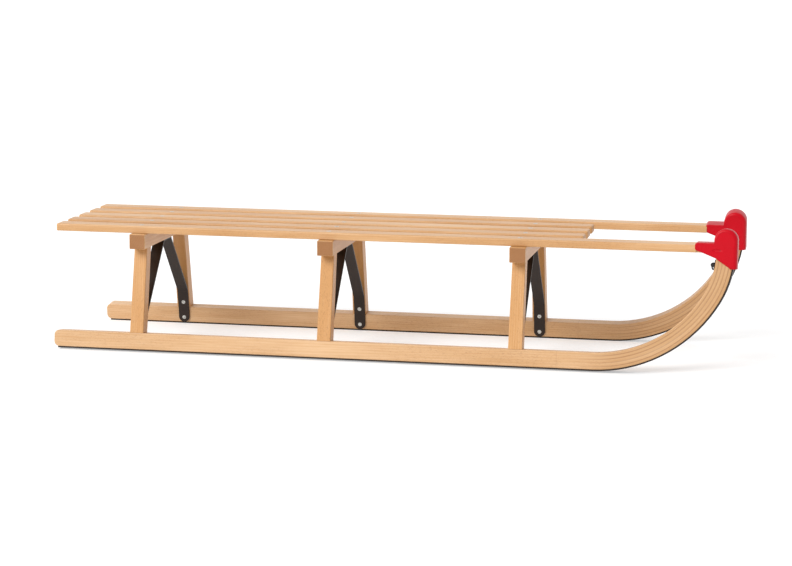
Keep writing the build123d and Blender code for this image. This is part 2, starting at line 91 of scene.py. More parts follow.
class Field:
    """A shader value that takes part in Python expressions."""

    def __init__(self, graph: "Graph", socket: bpy.types.NodeSocket) -> None:
        """Wraps an output socket of one graph."""
        self.graph = graph
        self.socket = socket

    def _maths(self, operation: str, *terms: Term) -> "Field":
        """Adds one Math node for an operation on the given terms."""
        return self.graph.node("ShaderNodeMath", {"operation": operation}, dict(enumerate(terms)))

    def __add__(self, other: Term) -> "Field":
        """Sum."""
        return self._maths("ADD", self, other)

    def __radd__(self, other: Term) -> "Field":
        """Sum with a number on the left."""
        return self._maths("ADD", other, self)

    def __sub__(self, other: Term) -> "Field":
        """Difference."""
        return self._maths("SUBTRACT", self, other)

    def __rsub__(self, other: Term) -> "Field":
        """Difference with a number on the left."""
        return self._maths("SUBTRACT", other, self)

    def __mul__(self, other: Term) -> "Field":
        """Product."""
        return self._maths("MULTIPLY", self, other)

    def __rmul__(self, other: Term) -> "Field":
        """Product with a number on the left."""
        return self._maths("MULTIPLY", other, self)

    def __truediv__(self, other: Term) -> "Field":
        """Quotient."""
        return self._maths("DIVIDE", self, other)

    def __abs__(self) -> "Field":
        """Size without sign."""
        return self._maths("ABSOLUTE", self)

    def __gt__(self, other: Term) -> "Field":
        """One where this is the larger, else nought."""
        return self._maths("GREATER_THAN", self, other)

    def __lt__(self, other: Term) -> "Field":
        """One where this is the smaller, else nought."""
        return self._maths("LESS_THAN", self, other)

    def root(self) -> "Field":
        """Square root."""
        return self._maths("SQRT", self)

    def part(self) -> "Field":
        """What is left after the whole number."""
        return self._maths("FRACT", self)

    def whole(self) -> "Field":
        """The whole number below."""
        return self._maths("FLOOR", self)

    def turn(self, adjacent: "Field") -> "Field":
        """Angle whose tangent is this over the adjacent side."""
        return self._maths("ARCTAN2", self, adjacent)

    def between(self, low: float, high: float) -> "Field":
        """Smooth rise from nought at low to one at high."""
        return self.graph.node(
            "ShaderNodeMapRange",
            {"interpolation_type": "SMOOTHSTEP"},
            {"Value": self, "From Min": low, "From Max": high},
        )

    def choose(self, off: Term, on: Term) -> "Field":
        """Number that is off where this mask is nought and on where it is one."""
        return self.graph.node("ShaderNodeMix", {"data_type": "FLOAT"}, {0: self, 2: off, 3: on})


class Graph:
    """The shader nodes of one material or of the world."""

    def __init__(self, name: str, owner: Optional[bpy.types.World] = None) -> None:
        """Starts an empty node tree.

        Args:
            name: Name of the new material, if there is no owner.
            owner: The world that takes the nodes instead of a material.
        """
        self.material = owner or bpy.data.materials.new(name)
        self.material.use_nodes = True
        self.tree = self.material.node_tree
        self.tree.nodes.clear()

    def node(
        self,
        kind: str,
        settings: Mapping[str, object],
        inputs: Mapping[Union[str, int], Term],
        output: Union[str, int] = 0,
    ) -> Field:
        """Adds any node.

        Args:
            kind: The node's type name.
            settings: Its own settings, which are set first.
            inputs: Socket names or numbers, with numbers, colours or fields.
            output: The output to hand back.

        Returns:
            The chosen output as a field.
        """
        made = self.tree.nodes.new(kind)
        for name, value in settings.items():
            setattr(made, name, value)
        for name, value in inputs.items():
            socket = made.inputs[name]
            if isinstance(value, Field):
                self.tree.links.new(value.socket, socket)
            else:
                socket.default_value = value
        return Field(self, made.outputs[output])

    def place(self) -> Tuple[Field, Field, Field]:
        """Where a point is on the toboggan at rest, as three fields in metres."""
        return self._split("Object")

    def facing(self) -> Tuple[Field, Field, Field]:
        """Which way the surface faces, as three fields."""
        return self._split("Normal")

    def _split(self, output: str) -> Tuple[Field, Field, Field]:
        """Splits one output of the texture coordinates."""
        whole = self.node("ShaderNodeTexCoord", {}, {}, output)
        return tuple(
            self.node("ShaderNodeSeparateXYZ", {}, {0: whole}, axis) for axis in ("X", "Y", "Z")
        )

    def vector(self, x: Term, y: Term, z: Term) -> Field:
        """Joins three numbers."""
        return self.node("ShaderNodeCombineXYZ", {}, {0: x, 1: y, 2: z})

    def noise(self, at: Field, scale: float, detail: float = 2.0, rough: float = 0.5) -> Field:
        """Smooth noise from nought to one."""
        return self.node(
            "ShaderNodeTexNoise", {}, {"Vector": at, "Scale": scale, "Detail": detail, "Roughness": rough}
        )

    def cells(self, at: Field, scale: float) -> Field:
        """Distance to the nearest of many scattered points."""
        return self.node("ShaderNodeTexVoronoi", {}, {"Vector": at, "Scale": scale}, "Distance")

    def blend(self, share: Term, under: Term, over: Term) -> Field:
        """Mixes two colours by a share."""
        return self.node("ShaderNodeMix", {"data_type": "RGBA"}, {0: share, 6: under, 7: over}, 2)

    def surface(
        self,
        base: Term,
        roughness: Term,
        height: Optional[Field] = None,
        depth: float = 0.0,
        fixed: Optional[Mapping[str, float]] = None,
        metallic: Term = 0.0,
    ) -> bpy.types.Material:
        """Joins a Principled surface to the output.

        Args:
            base: Base colour.
            roughness: Roughness, fixed or varying.
            height: Relief from nought to one, if there is any.
            depth: How deep that relief is, in metres.
            fixed: Other sockets that are the same all over.
            metallic: Share of bare metal.

        Returns:
            The finished material.
        """
        inputs: Dict[Union[str, int], Term] = {
            "Base Color": base,
            "Roughness": roughness,
            "Metallic": metallic,
        }
        inputs.update(fixed or {})
        if height is not None:
            inputs["Normal"] = self.node("ShaderNodeBump", {}, {"Distance": depth, "Height": height})
        self.finish("ShaderNodeOutputMaterial", self.node("ShaderNodeBsdfPrincipled", {}, inputs))
        return self.material

    def finish(self, kind: str, shader: Field) -> None:
        """Joins a shader to an output node of the given kind."""
        out = self.tree.nodes.new(kind)
        self.tree.links.new(shader.socket, out.inputs["Surface"])


@dataclass(frozen=True)
class RunnerShape:
    """The left runner's own plane and its bend, in metres from its tail and its sole."""

    tail: float = -0.600
    middle_y: float = 0.1485
    lift: float = 0.0013018
    lean: float = math.radians(6.5)
    height: float = 0.0314
    width: float = 0.025
    sole_thick: float = 0.0025
    bend_start: float = 0.961
    low_radius: float = 0.245
    low_turn: float = math.radians(60)
    high_radius: float = 0.170
    slit_start: float = 0.900
    layers: int = 5
    veneer: float = 0.0015

    @property
    def high_x(self) -> float:
        """Place of the upper arc's centre along the runner."""
        return self.bend_start + (self.low_radius - self.high_radius) * math.sin(self.low_turn)

    @property
    def high_h(self) -> float:
        """Height of the upper arc's centre above the sole."""
        return self.low_radius - (self.low_radius - self.high_radius) * math.cos(self.low_turn)

    @property
    def layer_pitch(self) -> float:
        """Distance from one glued layer to the next."""
        wood = self.height - self.sole_thick
        return (wood + self.veneer) / self.layers

    def across(self, y: Field, z: Field) -> Field:
        """Distance across a runner, outwards from its middle plane."""
        return (abs(y) - self.middle_y) * math.cos(self.lean) + (z - self.lift) * math.sin(self.lean)

    def height_of(self, y: Field, z: Field) -> Field:
        """Height up a runner's own plane."""
        return (z - self.lift) * math.cos(self.lean) - (abs(y) - self.middle_y) * math.sin(self.lean)

    def unrolled(self, x: Field, y: Field, z: Field) -> Tuple[Field, Field, Field]:
        """Coordinates that follow the bend.

        Args:
            x: Place along the toboggan.
            y: Place across it.
            z: Height.

        Returns:
            Distance along the sole, depth above the sole and distance across the runner.
        """
        run = x - self.tail
        rise = self.height_of(y, z)
        low_x = run - self.bend_start
        low_h = self.low_radius - rise
        low_angle = low_x.turn(low_h)
        low_depth = self.low_radius - (low_x * low_x + low_h * low_h).root()
        high_x = run - self.high_x
        high_h = self.high_h - rise
        high_angle = high_x.turn(high_h)
        high_depth = self.high_radius - (high_x * high_x + high_h * high_h).root()
        low_end = self.bend_start + self.low_radius * self.low_turn
        in_low = run > self.bend_start
        in_high = in_low * (low_angle > self.low_turn)
        along = in_low.choose(run, low_angle * self.low_radius + self.bend_start)
        along = in_high.choose(along, (high_angle - self.low_turn) * self.high_radius + low_end)
        depth = in_low.choose(rise, low_depth)
        depth = in_high.choose(depth, high_depth)
        return along, depth, self.across(y, z)


class Grain(enum.Enum):
    """Ways that the grain of a board can run."""

    ALONG_SEAT = "along the seat"
    ACROSS_SEAT = "across the seat"
    DOWN_LEG = "down a splayed leg"
    ROUND_BEND = "along a runner and round its bend"


@dataclass(frozen=True)
class Beech:
    """Clear-lacquered beech with fine grain, rays, growth rings and slightly worn edges.

    Pairs of numbers are where a change begins and ends, except the heart's offsets and the widths of
    wear on a slat and on a runner.
    """

    grain: Grain
    seed: int = 0
    pale: str = "dcb588"
    deep: str = "bb8850"
    ray: str = "7f4f2a"
    end: str = "b07f4e"
    bent: str = "a97c4a"
    glue: str = "84552d"
    worn: str = "a87a4c"
    tone: float = 0.0
    cut: float = 0.70
    veneer: bool = False
    ring: float = 0.0034
    heart: Tuple[float, float] = (0.055, 0.070)
    wander: float = 0.024
    ray_share: float = 0.55
    fleck_share: float = 0.50
    relief: float = 0.00016
    lacquer: float = 0.18
    edge_wear: Tuple[float, float] = (0.0022, 0.0018)
    tail_run: float = 0.05
    end_on: Tuple[float, float] = (0.75, 0.97)
    end_on_leg: Tuple[float, float] = (0.80, 0.97)
    layer_fade: float = 0.12
    layer_middle: float = 0.4
    joint_line: Tuple[float, float] = (0.0001, 0.0007)
    leg_splay: float = 0.2126
    slat_pitch: float = 0.06015
    slat_half: float = 0.01825
    shape: RunnerShape = field(default_factory=RunnerShape)

    def _lengthwise(self, graph: Graph) -> Tuple[Field, Field, Field]:
        """Follows the grain of the board.

        Args:
            graph: The material's graph.

        Returns:
            Distances along the grain, up through the board and across it, in metres.
        """
        x, y, z = graph.place()
        if self.grain is Grain.ALONG_SEAT:
            return x, y, z
        if self.grain is Grain.ACROSS_SEAT:
            return y, x, z
        if self.grain is Grain.DOWN_LEG:
            return z, x, abs(y) + z * self.leg_splay
        return self.shape.unrolled(x, y, z)

    def _end_grain(self, graph: Graph) -> Field:
        """Finds the surface that cuts across the grain.

        Args:
            graph: The material's graph.

        Returns:
            One on end grain, else nought.
        """
        x, y, z = graph.facing()
        if self.grain is Grain.ACROSS_SEAT:
            return abs(y).between(*self.end_on)
        if self.grain is Grain.DOWN_LEG:
            return abs(z).between(*self.end_on_leg)
        if self.grain is Grain.ALONG_SEAT:
            return abs(x).between(*self.end_on)
        run = graph.place()[0]
        return abs(x).between(*self.end_on) * (run < self.shape.tail + self.tail_run)

    def _edge(self, over: Field, through: Field) -> Optional[Field]:
        """Finds the worn long edges of a slat or a runner.

        Args:
            over: Distance across the seat, for a slat.
            through: Distance across the board, for a runner.

        Returns:
            One at the edge, or None on boards whose edges don't wear.
        """
        slat_wear, runner_wear = self.edge_wear
        if self.grain is Grain.ALONG_SEAT:
            local = abs((over / self.slat_pitch + 0.5).part() - 0.5) * self.slat_pitch
            return local.between(self.slat_half - slat_wear, self.slat_half)
        if self.grain is Grain.ROUND_BEND:
            half = self.shape.width / 2
            return abs(through).between(half - runner_wear, half)
        return None

    def make(self) -> bpy.types.Material:
        """Builds the material.

        Returns:
            The material, which differs from board to board by its seed.
        """
        graph = Graph(f"beech_{self.grain.name.lower()}_{self.seed}")
        along, over, through = self._lengthwise(graph)
        run = along + self.seed * 0.731
        spot = (run, over + self.seed * 0.271, through)
        late = self._late_wood(graph, spot, over)
        cloud = graph.noise(self._drawn_out(graph, spot, 3.5, 14.0), 1.0, 2.0)
        streak = graph.noise(self._drawn_out(graph, spot, 6.0, 110.0), 1.0, 3.0, 0.65)
        thread = graph.noise(self._drawn_out(graph, spot, 22.0, 420.0), 1.0, 2.0, 0.6)
        fibre = graph.noise(self._drawn_out(graph, spot, 60.0, 1500.0), 1.0, 2.0, 0.6)
        fine = graph.cells(self._drawn_out(graph, spot, 230.0, 1000.0), 1.0)
        broad = graph.cells(self._drawn_out(graph, spot, 95.0, 560.0), 1.0)
        patch = cloud.between(0.28, 0.58)
        ray = (1.0 - fine.between(0.10, 0.34)) * patch
        fleck = (1.0 - broad.between(0.08, 0.30)) * patch

        share = streak * 0.55 + thread * 0.42 + fibre * 0.16 + cloud * 0.50 + late * 0.13 - 0.38 + self.tone
        base = graph.blend(share.between(0.05, 0.95), paint(self.pale), paint(self.deep))
        base = graph.blend(ray * self.ray_share, base, paint(self.ray))
        base = graph.blend(fleck * self.fleck_share, base, paint(self.ray))
        relief = thread * 0.35 + fibre * 0.35 + late * 0.15 - ray * 0.4 + 0.5
        if self.grain is Grain.ROUND_BEND:
            base = self._layered(graph, base, along, over)
        edge = self._edge(over, through)
        if edge is not None:
            base = graph.blend(edge * (cloud * 0.45 + 0.12), base, paint(self.worn))
        cut = self._end_grain(graph)
        pores = graph.noise(self._drawn_out(graph, spot, 900.0, 1300.0), 1.0, 1.0)
        end_share = late * 0.30 + pores.between(0.35, 0.8) * 0.40
        end_tone = graph.blend(end_share, paint(self.end), paint(self.ray))
        base = graph.blend(cut * self.cut, base, end_tone)
        roughness = 0.38 + streak * 0.08 + fibre * 0.10 + cut * 0.18
        fixed = {"Coat Weight": self.lacquer, "Coat Roughness": 0.18, "IOR": 1.45}
        return graph.surface(base, roughness, relief, self.relief, fixed)

    def _drawn_out(self, graph: Graph, spot: Sequence[Field], long: float, wide: float) -> Field:
        """Scales a board's coordinates so that a pattern is drawn out along the grain.

        Args:
            graph: The material's graph.
            spot: Distances along the grain, up through the board and across it.
            long: Scale along the grain.
            wide: Scale across it.

        Returns:
            The scaled coordinates.
        """
        run, side, through = spot
        return graph.vector(run * long, side * wide, through * wide)

    def _late_wood(self, graph: Graph, spot: Sequence[Field], over: Field) -> Field:
        """Draws the growth rings about a heart that lies beside the board.

        Args:
            graph: The material's graph.
            spot: Shifted distances along the grain, up through the board and across it.
            over: Distance up through the board, not shifted.

        Returns:
            One in the dark late wood of each ring, else nought.
        """
        wander = graph.noise(self._drawn_out(graph, spot, 1.4, 8.0), 1.0, 2.0)
        out_over = over + (self.heart[0] + 0.013 * (self.seed % 5))
        out_through = spot[2] + (self.heart[1] - 0.009 * (self.seed % 4))
        radius = (out_over * out_over + out_through * out_through).root() + wander * self.wander
        rings = (radius / self.ring).part()
        return rings.between(0.30, 0.92) * (1.0 - rings.between(0.92, 1.0))

    def _layered(self, graph: Graph, base: Field, along: Field, depth: Field) -> Field:
        """Shows the glued layers of a bend.

        Args:
            graph: The material's graph.
            base: Colour of the solid wood.
            along: Distance along the sole.
            depth: Depth above the sole.

        Returns:
            The colour with each layer a little different and a fine joint where the slits end.
        """
        shape = self.shape
        level = (depth - shape.sole_thick) / shape.layer_pitch
        inside = along.between(shape.slit_start, shape.slit_start + self.layer_fade)
        toss = graph.node(
            "ShaderNodeTexWhiteNoise", {"noise_dimensions": "1D"}, {"W": level.whole() + self.seed}
        )
        if self.veneer:
            base = graph.blend(inside * (toss * 0.35 + 0.50), base, paint(self.glue))
        else:
            layer = graph.blend(toss * 0.42 + 0.32, base, paint(self.bent))
            near = abs(level.part() - self.layer_middle)
            layer = graph.blend(near.between(0.30, 0.45) * 0.62, layer, paint(self.glue))
            base = graph.blend(inside, base, layer)
        joint = 1.0 - abs(along - shape.slit_start).between(*self.joint_line)
        return graph.blend(joint * 0.30, base, paint(self.glue))


@dataclass(frozen=True)
class BlackSteel:
    """Flat steel bar with black stoved enamel, whose warm brown cast is partly its own colour and partly a
    painted reflection of the nearby beech.
    """

    name: str = "black_enamel"
    # Both enamel colours carry a warm brown cast: partly the enamel's own colour, partly a painted reflection
    # of the beech.
    coat_and_reflection: str = "281b13"
    shade: str = "17100c"
    rub: str = "5c5955"
    scuffed: float = 0.0
    relief: float = 0.00012
    sheen: float = 0.3

    def make(self) -> bpy.types.Material:
        """Builds the material.

        Returns:
            The material.
        """
        graph = Graph(self.name)
        x, y, z = graph.place()
        at = graph.vector(x, y, z)
        peel = graph.noise(at, 900.0, 2.0)
        cloud = graph.noise(at, 38.0, 4.0, 0.6)
        scratch = graph.noise(graph.vector(x * 14.0, y * 1400.0, z * 420.0), 1.0, 2.0)
        marks = scratch.between(0.66, 0.74) * cloud.between(0.50, 0.68)
        down = graph.facing()[2]
        worn = marks * 0.5 + (down < -0.4) * scratch.between(0.52, 0.70) * self.scuffed
        # Mottled enamel; its brown cast is partly a painted reflection of the beech.
        base = graph.blend(cloud * 0.45, paint(self.coat_and_reflection), paint(self.shade))
        base = graph.blend(worn, base, paint(self.rub))
        roughness = 0.36 + cloud * 0.16 + marks * 0.15
        relief = peel * 0.6 + cloud * 0.4
        fixed = {"IOR": 1.5, "Specular IOR Level": self.sheen}
        return graph.surface(base, roughness, relief, self.relief, fixed, worn * 0.6)


@dataclass(frozen=True)
class PlatedScrew:
    """Plated steel screw."""

    name: str = "bright_zinc"
    plate: str = "cfcfca"
    dull: str = "8f8f8b"
    metallic: float = 1.0
    relief: float = 0.00006

    def make(self) -> bpy.types.Material:
        """Builds the material.

        Returns:
            The material.
        """
        graph = Graph(self.name)
        at = graph.vector(*graph.place())
        cloud = graph.noise(at, 420.0, 3.0)
        grit = graph.noise(at, 2600.0, 2.0)
        base = graph.blend(cloud.between(0.35, 0.75), paint(self.plate), paint(self.dull))
        return graph.surface(base, 0.24 + cloud * 0.16, grit, self.relief, {}, self.metallic)


@dataclass(frozen=True)
class RedPlastic:
    """Moulded red plastic with a satin gloss."""

    name: str = "red_plastic"
    bright: str = "bb0017"
    deep: str = "a60012"
    scuff: str = "cc3a50"
    seam_off: float = 0.0027
    seam_line: Tuple[float, float] = (0.00006, 0.00028)
    relief: float = 0.00010
    sheen: float = 0.20
    shape: RunnerShape = field(default_factory=RunnerShape)

    def make(self) -> bpy.types.Material:
        """Builds the material.

        Returns:
            The material.
        """
        graph = Graph(self.name)
        x, y, z = graph.place()
        at = graph.vector(x, y, z)
        cloud = graph.noise(at, 55.0, 3.0)
        skin = graph.noise(at, 1500.0, 2.0)
        flow = graph.noise(graph.vector(x * 60.0, y * 60.0, z * 220.0), 1.0, 2.0)
        specks = graph.cells(at, 420.0)
        dust = (1.0 - specks.between(0.03, 0.09)) * cloud.between(0.5, 0.7)
        base = graph.blend(cloud * 0.5 + flow * 0.3, paint(self.bright), paint(self.deep))
        base = graph.blend(dust * 0.35, base, paint(self.scuff))
        seam = 1.0 - abs(self.shape.across(y, z) + self.seam_off).between(*self.seam_line)
        roughness = 0.27 + skin * 0.10 + flow * 0.06 + cloud * 0.05
        relief = skin * 0.35 + cloud * 0.35 + seam * 0.9
        return graph.surface(
            base, roughness, relief, self.relief, {"IOR": 1.45, "Specular IOR Level": self.sheen}
        )


@dataclass(frozen=True)
class BlackNylon:
    """Moulded black nylon or braided black yarn."""

    name: str = "black_nylon"
    pale: str = "2a2a2b"
    dark: str = "141415"
    rough: float = 0.55
    grain: float = 1800.0
    relief: float = 0.00012

    def make(self) -> bpy.types.Material:
        """Builds the material.

        Returns:
            The material.
        """
        graph = Graph(self.name)
        at = graph.vector(*graph.place())
        skin = graph.noise(at, self.grain, 3.0, 0.6)
        cloud = graph.noise(at, self.grain * 0.1, 2.0)
        base = graph.blend(skin * 0.6 + cloud * 0.4, paint(self.dark), paint(self.pale))
        return graph.surface(base, self.rough + skin * 0.2, skin, self.relief, {"IOR": 1.5})


def dress(node: str, material: bpy.types.Material) -> None:
    """Gives a CAD node its finish.

    Args:
        node: The CAD node's name.
        material: The finish for all its slots.
    """
    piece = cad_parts[node]
    if not piece.material_slots:
        piece.data.materials.append(material)
    for place in piece.material_slots:
        place.material = material
    LOG.info("dressed %s in %s", node, material.name)


@dataclass
class Woodwork:
    """All the beech pieces."""

    slats: Sequence[str] = (
        "right_outer_slat", "right_inner_slat", "centre_slat", "left_inner_slat", "left_outer_slat",
    )
    slat_tones: Sequence[float] = (0.10, 0.16, 0.08, 0.19, 0.12)
    leg_tones: Sequence[float] = (0.44, 0.36, 0.45, 0.36, 0.42, 0.32)
    crossbar_tones: Sequence[float] = (0.22, 0.30, 0.25)

    def dress(self) -> None:
        """Dresses slats, crossbars, legs, runners and veneers."""
        for row, (slat, tone) in enumerate(zip(self.slats, self.slat_tones)):
            dress(slat, Beech(Grain.ALONG_SEAT, 1 + row, tone=tone).make())
        for row, trestle in enumerate(TRESTLES):
            tone = self.crossbar_tones[row]
            # Crossbar end grain is darker (8a5a30) and mixed in more strongly (cut 0.85) than on the other
            # boards: partly real end grain, partly painted shade of the slats above.
            bar = Beech(Grain.ACROSS_SEAT, 11 + row, end="8a5a30", tone=tone, cut=0.85)
            dress(f"{trestle}_crossbar", bar.make())
            for column, side in enumerate(SIDES):
                tone = self.leg_tones[2 * row + column]
                dress(f"{trestle}_{side}_leg", Beech(Grain.DOWN_LEG, 21 + 2 * row + column, tone=tone).make())
        for row, side in enumerate(SIDES):
            bent = {"seed": 31 + row, "pale": "e0be97", "deep": "bd905c", "tone": 0.02}
            dress(f"{side}_runner", Beech(Grain.ROUND_BEND, **bent).make())
            dress(f"{side}_bend_veneers", Beech(Grain.ROUND_BEND, veneer=True, **bent).make())


@dataclass
class Metalwork:
    """Sole strips, struts and every screw."""

    bright: Sequence[str] = (
        "slat_screws", "horn_screws", "strut_leg_screws", "strut_runner_screws", "strut_crossbar_screws",
        "left_sole_screws", "right_sole_screws",
    )

    def dress(self) -> None:
        """Dresses the steel."""
        enamel = BlackSteel().make()
        sole = BlackSteel("sole_enamel", scuffed=0.6).make()
        zinc = PlatedScrew().make()
        black = PlatedScrew("black_zinc", "3a3a3c", "202022", metallic=0.7).make()
        red = PlatedScrew("red_lacquer", "b00a1c", "7c0713", metallic=0.0).make()
        for trestle in TRESTLES:
            dress(f"{trestle}_strut", enamel)
        for side in SIDES:
            dress(f"{side}_sole_strip", sole)
        for screws in self.bright:
            dress(screws, zinc)
        dress("saddle_screws", black)
        dress("cap_screws", red)


def add_object(name: str, data: Optional[bpy.types.ID]) -> bpy.types.Object:
    """Puts a new object in the scene.

    Args:
        name: Name of the object.
        data: Its mesh, curve, light or camera.

    Returns:
        The object.
    """
    made = bpy.data.objects.new(name, data)
    bpy.context.scene.collection.objects.link(made)
    return made


def join_rings(mesh: bmesh.types.BMesh, lower: Ring, upper: Ring) -> None:
    """Joins two rings of as many vertices with faces."""
    for step, (near, far) in enumerate(zip(lower, upper)):
        after = (step + 1) % len(lower)
        mesh.faces.new((near, lower[after], upper[after], far))


def add_mesh(name: str, mesh: bmesh.types.BMesh, crease: Optional[float] = None) -> bpy.types.Object:
    """Turns a mesh under construction into an object.

    Args:
        name: Name of the object and its mesh.
        mesh: The mesh, which is freed.
        crease: Angle above which an edge stays sharp, or None for none.

    Returns:
        The object, smooth apart from its sharp edges.
    """
    bmesh.ops.recalc_face_normals(mesh, faces=mesh.faces)
    for face in mesh.faces:
        face.smooth = True
    data = bpy.data.meshes.new(name)
    mesh.to_mesh(data)
    mesh.free()
    if crease is not None:
        data.set_sharp_from_angle(angle=crease)
    return add_object(name, data)


def smooth_step(value: float, low: float, high: float) -> float:
    """Smooth rise from nought at low to one at high."""
    share = min(1.0, max(0.0, (value - low) / (high - low)))
    return share * share * (3 - 2 * share)


def rounded_outline(
    corners: Sequence[Tuple[float, float, float]], step: float, turn: float
) -> List[Tuple[Vector, Vector]]:
    """Outline with round corners.

    Args:
        corners: Place along, height and radius of each corner, anticlockwise.
        step: Longest distance between points on a straight.
        turn: Largest angle between points on an arc.

    Returns:
        Points of the outline, each with its inward normal.
    """
    pairs: List[Tuple[Vector, Vector]] = []
    count = len(corners)
    for row in range(count):
        before, corner, after = (Vector(corners[(row + shift) % count][:2]) for shift in (-1, 0, 1))
        radius = corners[row][2]
        coming = (corner - before).normalized()
        going = (after - corner).normalized()
        bend = math.atan2(coming.cross(going), coming.dot(going))
        reach = radius * math.tan(abs(bend) / 2)
        side = Vector((-coming.y, coming.x)) * math.copysign(1.0, bend)
        centre = corner - coming * reach + side * radius
        pieces = max(2, math.ceil(abs(bend) / turn))
        for piece in range(pieces + 1):
            angle = bend * piece / pieces
            spoke = Vector((
                -side.x * math.cos(angle) + side.y * math.sin(angle),
                -side.x * math.sin(angle) - side.y * math.cos(angle),
            ))
            heading = Vector((
                coming.x * math.cos(angle) - coming.y * math.sin(angle),
                coming.x * math.sin(angle) + coming.y * math.cos(angle),
            ))
            pairs.append((centre + spoke * radius, Vector((-heading.y, heading.x))))
    filled: List[Tuple[Vector, Vector]] = []
    for (point, normal), (ahead, facing) in zip(pairs, pairs[1:] + pairs[:1]):
        filled.append((point, normal))
        length = (ahead - point).length
        pieces = math.floor(length / step)
        if (normal - facing).length < SAME_WAY:
            for piece in range(1, pieces):
                filled.append((point.lerp(ahead, piece / pieces), normal))
    return filled


@dataclass
class HornCaps:
    """Red caps over the horns, with a broad round in front and a crisp edge behind.

    Places along count from the tail, and heights go up the runner's own plane. Each panel row is an
    inset and a depth, and each dish row is a share of the dish's half size and a depth.
    """

    shape: RunnerShape = field(default_factory=RunnerShape)
    front: float = 1.2000
    rear: float = 1.1605
    dome_top: float = 0.24914
    beak_top: float = 0.22495
    beak_under: float = 0.2125
    tip: float = 1.1285
    throat: Tuple[float, float] = (1.1635, 0.1990)
    heel: float = 1.1885
    outer: float = 0.0158
    inner: float = 0.0212
    slat_y: float = 0.1204
    beak_tilt: float = math.radians(4)
    front_round: float = 0.0066
    rear_round: float = 0.0011
    dome_round: float = 0.0038
    beak_round: float = 0.0018
    foot: float = 0.1815
    beak_gap: float = 0.0004
    foot_band: float = 0.0015
    toe_width: float = 0.0016
    tilt_end: float = 0.002
    blend_in: float = 0.004
    dome_rise: float = 0.010
    outline_step: float = 0.0022
    outline_turn: float = math.radians(7)
    crease: float = math.radians(38)
    hair: float = 0.00001
    weld: float = 0.00002
    rim_rows: int = 7
    panel_rows: Tuple[Tuple[float, float], ...] = ((0.0004, 0.0004), (0.0009, 0.0004))
    dish: Tuple[float, float] = (1.1660, 0.2122)
    dish_half: Tuple[float, float] = (0.0087, 0.0026)
    dish_rows: Tuple[Tuple[float, float], ...] = (
        (0.95, 0.0006), (0.86, 0.0010), (0.74, 0.00124), (0.40, 0.00126),
    )
    dish_collar: float = 1.12
    dish_sides: int = 40

    def _outline(self) -> List[Tuple[Vector, Vector]]:
        """Draws a cap from the side.

        Returns:
            Points of the outline, each with its inward normal.
        """
        dome = (self.front - self.rear) / 2 - self.hair
        corners = [
            (self.heel, self.foot, 0.0012),
            (self.front, self.foot, 0.0014),
            (self.front, self.dome_top, dome),
            (self.rear, self.dome_top, dome),
            (self.rear, self.beak_top, 0.0008),
            (self.tip, self.beak_top, 0.0046),
            (self.tip, self.beak_under, 0.0042),
            (*self.throat, 0.0030),
        ]
        return rounded_outline(corners, self.outline_step, self.outline_turn)

    def _round(self, point: Vector) -> float:
        """Chooses how round the cheek's edge is.

        Args:
            point: A point of the outline.

        Returns:
            Radius of the edge there.
        """
        if point.x < self.rear - self.beak_gap:
            return self.beak_round
        if point.y < self.foot + self.foot_band and point.x < self.front - self.toe_width:
            return self.rear_round
        share = smooth_step(point.x, self.rear + self.blend_in, self.front - self.blend_in)
        rise = smooth_step(point.y, self.beak_top, self.beak_top + self.dome_rise)
        behind = self.rear_round + (self.dome_round - self.rear_round) * rise
        return behind + (self.front_round - behind) * share

    def _place(self, along: float, height: float, across: float, sign: float) -> Vector:
        """Turns a place on a cap into the toboggan's frame, with the beak's tilted top.

        Args:
            along: Distance from the tail.
            height: Height up the runner's own plane.
            across: Distance outwards from the runner's middle plane.
            sign: One for the left cap, minus one for the right.

        Returns:
            The point in metres.
        """
        shape = self.shape
        if along < self.rear:
            y = shape.middle_y + across * math.cos(shape.lean) - height * math.sin(shape.lean)
            level = shape.lift + height * math.cos(shape.lean)
            wanted = level + (y - self.slat_y) * math.tan(self.beak_tilt)
            slope = (wanted - level) / math.cos(shape.lean) - across * math.tan(shape.lean)
            height += slope * smooth_step(height, self.beak_under, self.beak_top - self.tilt_end)
        y = shape.middle_y + across * math.cos(shape.lean) - height * math.sin(shape.lean)
        z = shape.lift + across * math.sin(shape.lean) + height * math.cos(shape.lean)
        return Vector((shape.tail + along, sign * y, z))

    def _rim(self, mesh: bmesh.types.BMesh, outward: float, sign: float) -> List[Ring]:
        """Lays the rounded rim of a cheek and the low step to its panel.

        Args:
            mesh: Mesh that takes the vertices.
            outward: One for the outer cheek, minus one for the inner.
            sign: One for the left cap, minus one for the right.

        Returns:
            Rings of vertices, from the wall to the panel.
        """
        reach = self.outer if outward > 0 else self.inner
        outline = self._outline()
        rings = []
        quarter = [(math.pi / 2 * row / self.rim_rows, 0.0, 0.0) for row in range(self.rim_rows + 1)]
        for angle, extra, sunk in (*quarter, *((math.pi / 2, *pair) for pair in self.panel_rows)):
            limit = self.front - self.front_round * (1 - math.cos(angle)) - extra
            ring = []
            for point, normal in outline:
                radius = self._round(point)
                moved = point + normal * (radius * (1 - math.cos(angle)) + extra)
                moved.x = min(moved.x, limit)
                if point.y < self.foot + self.foot_band:
                    moved.y = min(moved.y, self.foot + self.rear_round * (1 - math.cos(angle)) + extra)
                past = max(0.0, moved.x - self.front + self.front_round)
                band = self.front_round - math.sqrt(max(0.0, self.front_round ** 2 - past ** 2))
                inset = max(radius * (1 - math.sin(angle)), band) + sunk
                ring.append(mesh.verts.new(self._place(moved.x, moved.y, outward * (reach - inset), sign)))
            rings.append(ring)
        return rings

